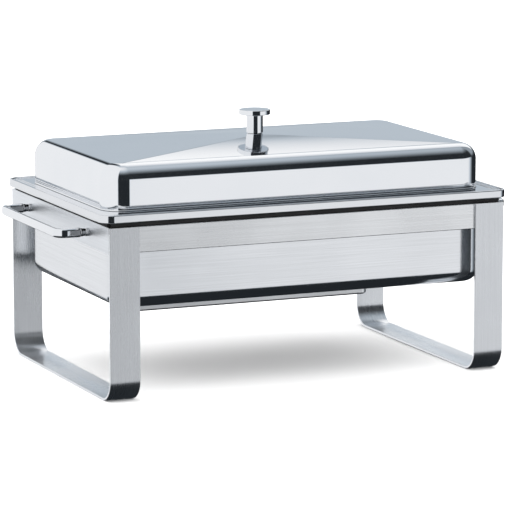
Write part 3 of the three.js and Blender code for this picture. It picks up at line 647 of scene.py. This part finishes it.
def lid_dome():
    """A deep drawn lid: a beaded foot, upright walls, a round shoulder and a bowed roof."""
    low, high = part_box("lid_shell")
    foot = 1.2 * MM  # how far the foot stands out from the wall
    foot_high = 1.5 * MM
    edge = 23.5 * MM
    shoulder_z = 335.4 * MM
    hem, reach = 0.45 * MM, 0.6 * MM
    wall = Shell(high.x - foot, high.y - foot, corner=34 * MM)
    inside = list(reversed(roof(wall, edge, shoulder_z, high.z, SHEET)))
    inside += wall.edge(edge, SHEET, shoulder_z, -1)
    inside += [wall.ring(SHEET, low.z + foot_high), wall.ring(SHEET - 0.5 * MM, low.z + 0.5 * MM)]
    inside += [wall.ring(0.1 * MM, low.z + 0.1 * MM), wall.ring(-0.6 * MM, low.z)]
    bead = wall.bend((hem - foot, low.z + hem), hem, 270, 90, 8)
    fillet = wall.bend((-reach, low.z + 2 * hem + reach), reach, -90, 0, 5)[1:]
    outside = list(reversed(wall.edge(edge, 0, shoulder_z, -1)))
    outside += roof(wall, edge, shoulder_z, high.z, 0)
    shell = skin("lid_dome", inside + bead + fillet + outside, polished, sharp=50)
    place_piece(shell, "lid", "polished_steel", "lid_shell")


def knob_post():
    """A turned post with a fine groove at its foot."""
    low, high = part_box("knob_stem")
    radius = (high.x - low.x) / 2
    neck = radius - 1.2 * MM
    groove_top = low.z + 0.6 * MM
    profile = [(0, low.z), (neck, low.z), (neck, groove_top)]
    profile += [(radius - 0.3 * MM, groove_top), (radius, groove_top + 0.3 * MM)]
    profile += [(radius, high.z - 0.4 * MM), (radius - 0.4 * MM, high.z), (0, high.z)]
    post = turned("knob_post", profile, polished)
    place_piece(post, "lid", "polished_steel", "knob_stem")


def knob_top():
    """A flat round top with soft rims, on a spigot that goes down into the post."""
    low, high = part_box("knob_cap")
    radius = (high.x - low.x) / 2
    thick = 7.8 * MM
    spigot = 4 * MM
    soft = 1.1 * MM
    crown = 0.1 * MM  # the top face dips this much to its middle
    under = high.z - thick
    profile = [(0, low.z), (spigot, low.z), (spigot, under), (radius - soft, under)]
    profile += arc((radius - soft, under + soft), soft, -90, 0)
    profile += arc((radius - soft, high.z - soft), soft, 0, 90)
    profile += [(radius / 2, high.z - crown / 2), (0, high.z - crown)]
    top = turned("knob_top", profile, polished, segments=96)
    place_piece(top, "lid", "polished_steel", "knob_cap")


# ------------------------------------------------------------------ heater and controls


def heater_tray():
    """The open tray under the basin, with a rounded bottom edge."""
    low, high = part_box("heater_tray")
    middle = (low + high) / 2
    half = (high - low) / 2
    edge = 3 * MM
    soft = 0.2 * MM
    outer = Shell(half.x, half.y, corner=10 * MM, centre=(middle.x, middle.y))
    rings = outer.edge(edge, 0, low.z, 1)
    rings += [outer.ring(0, high.z - soft), outer.ring(soft, high.z)]
    rings += [outer.ring(SHEET - soft, high.z), outer.ring(SHEET, high.z - soft)]
    rings += reversed(outer.edge(edge, SHEET, low.z, 1))
    tray = skin("heater_pan", rings, folded)
    place_piece(tray, "basin", "brushed_steel", "heater_tray")


def dial_marks():
    """A ring of printed ticks on the control panel, every third one long."""
    low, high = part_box("thermostat_dial")
    panel_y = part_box("control_box")[1].y
    centre = Vector(((low.x + high.x) / 2, panel_y, (low.z + high.z) / 2))
    radius = (high.x - low.x) / 2
    count = 10
    sweep = 270
    wide, thick = 0.55 * MM, 0.1 * MM
    gap = 0.4 * MM  # from the dial's rim to the ticks
    mesh = bpy.data.meshes.new("dial_scale")
    shape = bmesh.new()
    for step in range(count):
        angle = math.radians(sweep * (step / (count - 1) - 0.5))
        long = 1.9 * MM if step % 3 == 0 else 1.2 * MM
        size = Matrix.Diagonal((wide, thick, long, 1))
        turn = Matrix.Rotation(angle, 4, "Y")
        away = Matrix.Translation((0, thick / 2, radius + gap + long / 2))
        bmesh.ops.create_cube(shape, size=1, matrix=Matrix.Translation(centre) @ turn @ away @ size)
    shape.to_mesh(mesh)
    shape.free()
    scale = finish_mesh("dial_scale", mesh, white_print)
    place_piece(scale, "basin", "cream_plastic")


# ------------------------------------------------------------------ carried-over nodes


def carried_finishes():
    """Each carried-over node's material and the width in mm of its rounded edges."""
    finishes = {
        "control_box": (folded, 0.25),
        "heat_spreader": (aluminium, 0.2),
        "heating_element": (sheath, 0),
        "insulation_mat": (mineral_wool, 0.3),
        "thermostat_body": (cream_plastic, 0.5),
        "switch_frame": (black_plastic, 0.3),
        "switch_rocker": (gloss_black, 0.4),
        "pilot_lamp": (lens, 0),
        "power_inlet": (black_plastic, 0.3),
        "terminal_block": (cream_plastic, 0.4),
        "thermal_cutout": (brass, 0.2),
        "neutral_lead": (blue_cover, 0),
        "earth_lead": (green_cover, 0),
        "live_lead": (brown_cover, 0),
        "thermostat_dial": (black_plastic, 0.3),
        "thermostat_shaft": (zinc, 0.2),
        "knob_washer": (zinc, 0.2),
        "knob_screw": (zinc, 0.2),
    }
    for side in SIDES:
        finishes[f"{side}_side_panel"] = (end_steel, 0)
        for end in ENDS:
            finishes[f"corner_bracket_{end}_{side}"] = (zinc, 0.3)
            finishes[f"leg_nut_{end}_{side}"] = (zinc, 0.25)
            finishes[f"handle_screw_{end}_{side}"] = (zinc, 0.2)
            finishes[f"heater_screw_{end}_{side}"] = (zinc, 0.2)
    for place in (*SIDES, *ENDS):
        # The rim seals are near-black so that they show as painted shade in the gap under the rim.
        finishes[f"{place}_rim_seal"] = (painted_gap_shade, 0.8)
    return finishes


def soften(obj, width):
    """Rounds the edges of a carried-over solid without touching its mesh."""
    weld = obj.modifiers.new("weld", "WELD")
    weld.merge_threshold = 0.01 * MM
    if width:
        bevel = obj.modifiers.new("soft edges", "BEVEL")
        bevel.width = width
        bevel.segments = 2
        bevel.limit_method = "ANGLE"
        bevel.angle_limit = math.radians(40)
        bevel.harden_normals = True
    weighted = obj.modifiers.new("weighted normals", "WEIGHTED_NORMAL")
    weighted.keep_sharp = True


def carry_over():
    """The CAD nodes whose shapes are right keep them, and get their materials and soft edges."""
    for node, (material, width) in carried_finishes().items():
        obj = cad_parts[node]
        for slot in obj.material_slots:
            slot.material = material
        obj.data.shade_smooth()
        obj.data.set_sharp_from_angle(angle=math.radians(35))
        soften(obj, width * MM)


# ------------------------------------------------------------------ studio


def studio_camera():
    """A long lens at the left front, a little above the lid."""
    heading, down = math.radians(23.255), math.radians(9.723)
    level = math.cos(down)
    ahead = Vector((math.sin(heading) * level, math.cos(heading) * level, -math.sin(down)))
    data = bpy.data.cameras.new("camera")
    data.sensor_width = 36  # mm
    data.lens = 243.2126  # mm
    data.clip_end = 100
    camera = bpy.data.objects.new("camera", data)
    camera.location = (-2.0091, -4.6728, 1.0350)
    camera.rotation_mode = "QUATERNION"
    camera.rotation_quaternion = ahead.to_track_quat("-Z", "Y")
    bpy.context.collection.objects.link(camera)
    bpy.context.scene.camera = camera


def pale_floor():
    """A wide matt floor just under the feet, left out of reflections."""
    half = 40
    below = 0.2 * MM
    mesh = bpy.data.meshes.new("floor")
    shape = bmesh.new()
    corners = ((-half, -half), (half, -half), (half, half), (-half, half))
    shape.faces.new([shape.verts.new((x, y, -below)) for x, y in corners])
    shape.to_mesh(mesh)
    shape.free()
    material, tree, shader = new_material("pale floor")
    cloud = noise(tree, stretched(tree, (1.2, 1.2, 1.2)), detail=2)
    tree.links.new(shades(tree, cloud, (0.9, 0.9, 0.9), (0.92, 0.92, 0.92)), shader.inputs["Base Color"])
    shader.inputs["Roughness"].default_value = 1
    shader.inputs["Specular IOR Level"].default_value = 0
    mesh.materials.append(material)
    ground = bpy.data.objects.new("floor", mesh)
    bpy.context.collection.objects.link(ground)
    ground.visible_glossy = False


class Studio:
    """White walls and black flags round the object, as a sky seen by heading and elevation."""

    def __init__(self):
        world = bpy.data.worlds.new("studio")
        bpy.context.scene.world = world
        world.use_nodes = True
        self.tree = world.node_tree
        self.tree.nodes.clear()
        place = add(self.tree, "ShaderNodeTexCoord")
        parts = add(self.tree, "ShaderNodeSeparateXYZ")
        self.tree.links.new(place.outputs["Generated"], parts.inputs[0])
        heading = self.math("ARCTAN2", parts.outputs["X"], parts.outputs["Y"])
        elevation = self.math("ARCSINE", parts.outputs["Z"])
        self.heading = self.math("MULTIPLY", heading, 180 / math.pi)
        self.elevation = self.math("MULTIPLY", elevation, 180 / math.pi)

    def math(self, operation, *values):
        node = add(self.tree, "ShaderNodeMath", operation=operation)
        for socket, value in zip(node.inputs, values):
            if isinstance(value, (int, float)):
                socket.default_value = value
            else:
                self.tree.links.new(value, socket)
        return node.outputs[0]

    def step(self, value, at, soft):
        """0 below at and 1 above it, over a soft width."""
        node = add(self.tree, "ShaderNodeMapRange", interpolation_type="SMOOTHSTEP")
        node.inputs["From Min"].default_value = at - soft / 2
        node.inputs["From Max"].default_value = at + soft / 2
        self.tree.links.new(value, node.inputs["Value"])
        return node.outputs["Result"]

    def span(self, value, low, high, soft_low, soft_high):
        """1 from low to high and 0 outside, with a soft width at each end."""
        rise = self.step(value, low, soft_low)
        fall = self.math("SUBTRACT", 1, self.step(value, high, soft_high))
        return self.math("MULTIPLY", rise, fall)

    def panel(self, headings, elevations, level, soft, soft_top=None, soft_start=None):
        """A lit panel between two headings (degrees right of +Y) and two elevations."""
        across = self.span(self.heading, *headings, soft_start or soft, soft)
        upright = self.span(self.elevation, *elevations, soft, soft_top or soft)
        return self.math("MULTIPLY", self.math("MULTIPLY", across, upright), level)

    def brightest(self, first, *others):
        level = first
        for other in others:
            level = self.math("MAXIMUM", level, other)
        return level

    def tint(self, level, stops):
        """The colour of each level, from a ramp of (level, colour) stops."""
        ramp = add(self.tree, "ShaderNodeValToRGB")
        for place, _ in stops[1:-1]:
            ramp.color_ramp.elements.new(place)
        for element, (place, colour) in zip(ramp.color_ramp.elements, stops):
            element.position = place
            element.color = (*colour, 1)
        self.tree.links.new(level, ramp.inputs["Fac"])
        return ramp.outputs["Color"]

    def background(self, colour, strength):
        node = add(self.tree, "ShaderNodeBackground")
        node.inputs["Strength"].default_value = strength
        if isinstance(colour, tuple):
            node.inputs["Color"].default_value = colour
        else:
            self.tree.links.new(colour, node.inputs["Color"])
        return node.outputs[0]

    def show(self, plain, reflected):
        """Glossy rays see the reflected background, and all others see the plain one."""
        path = add(self.tree, "ShaderNodeLightPath")
        choose = add(self.tree, "ShaderNodeMixShader")
        output = add(self.tree, "ShaderNodeOutputWorld")
        self.tree.links.new(path.outputs["Is Glossy Ray"], choose.inputs["Fac"])
        self.tree.links.new(plain, choose.inputs[1])
        self.tree.links.new(reflected, choose.inputs[2])
        self.tree.links.new(choose.outputs[0], output.inputs["Surface"])


def studio_world():
    """Lit panels and dark gaps for the metal to reflect, and plain white light for the rest."""
    studio = Studio()
    left = studio.panel((-142, 5), (-24, 110), 0.86, soft=5)
    front_right = studio.panel((108, 161), (-24, 6), 0.84, soft=5, soft_start=36)
    back_low = studio.panel((9, 42), (-4, 17), 0.50, soft=4, soft_top=6)
    back_high = studio.panel((17, 62), (17, 66), 1.0, soft=5, soft_top=50)
    right = studio.panel((50, 96), (12, 60), 0.3, soft=16)
    overhead = studio.math("MULTIPLY", studio.step(studio.elevation, 63, 62), 0.86)
    dark = studio.math("MULTIPLY", studio.step(studio.elevation, -90, 1), 0.012)
    level = studio.brightest(left, front_right, back_low, back_high, right, overhead, dark)
    black, blue_grey = (0.006, 0.008, 0.0105), (0.46, 0.515, 0.57)
    pale, white = (0.79, 0.8, 0.82), (1, 1, 1)
    colour = studio.tint(level, ((0, black), (0.5, blue_grey), (0.8, pale), (1, white)))
    studio.show(
        plain=studio.background((1, 1, 1, 1), strength=2.0),
        reflected=studio.background(colour, strength=1.08),
    )


def soft_light():
    """One broad lamp overhead for soft shadows on the floor."""
    data = bpy.data.lights.new("overhead softbox", "AREA")
    data.shape = "RECTANGLE"
    data.size = 3.0
    data.size_y = 2.4
    data.energy = 16
    lamp = bpy.data.objects.new("overhead softbox", data)
    lamp.location = (-1.2, -1.0, 2.8)
    aim = Vector((0, 0, 0.2)) - lamp.location
    lamp.rotation_mode = "QUATERNION"
    lamp.rotation_quaternion = aim.to_track_quat("-Z", "Y")
    lamp.visible_glossy = False
    bpy.context.collection.objects.link(lamp)


# ------------------------------------------------------------------ build

bpy.context.scene.view_settings.view_transform = "Standard"
studio_camera()
pale_floor()
studio_world()
soft_light()
leg_loops()
aprons()
handles()
handle_spacers()
water_basin()
pan_frame()
food_pan()
lid_dome()
knob_post()
knob_top()
heater_tray()
dial_marks()
carry_over()
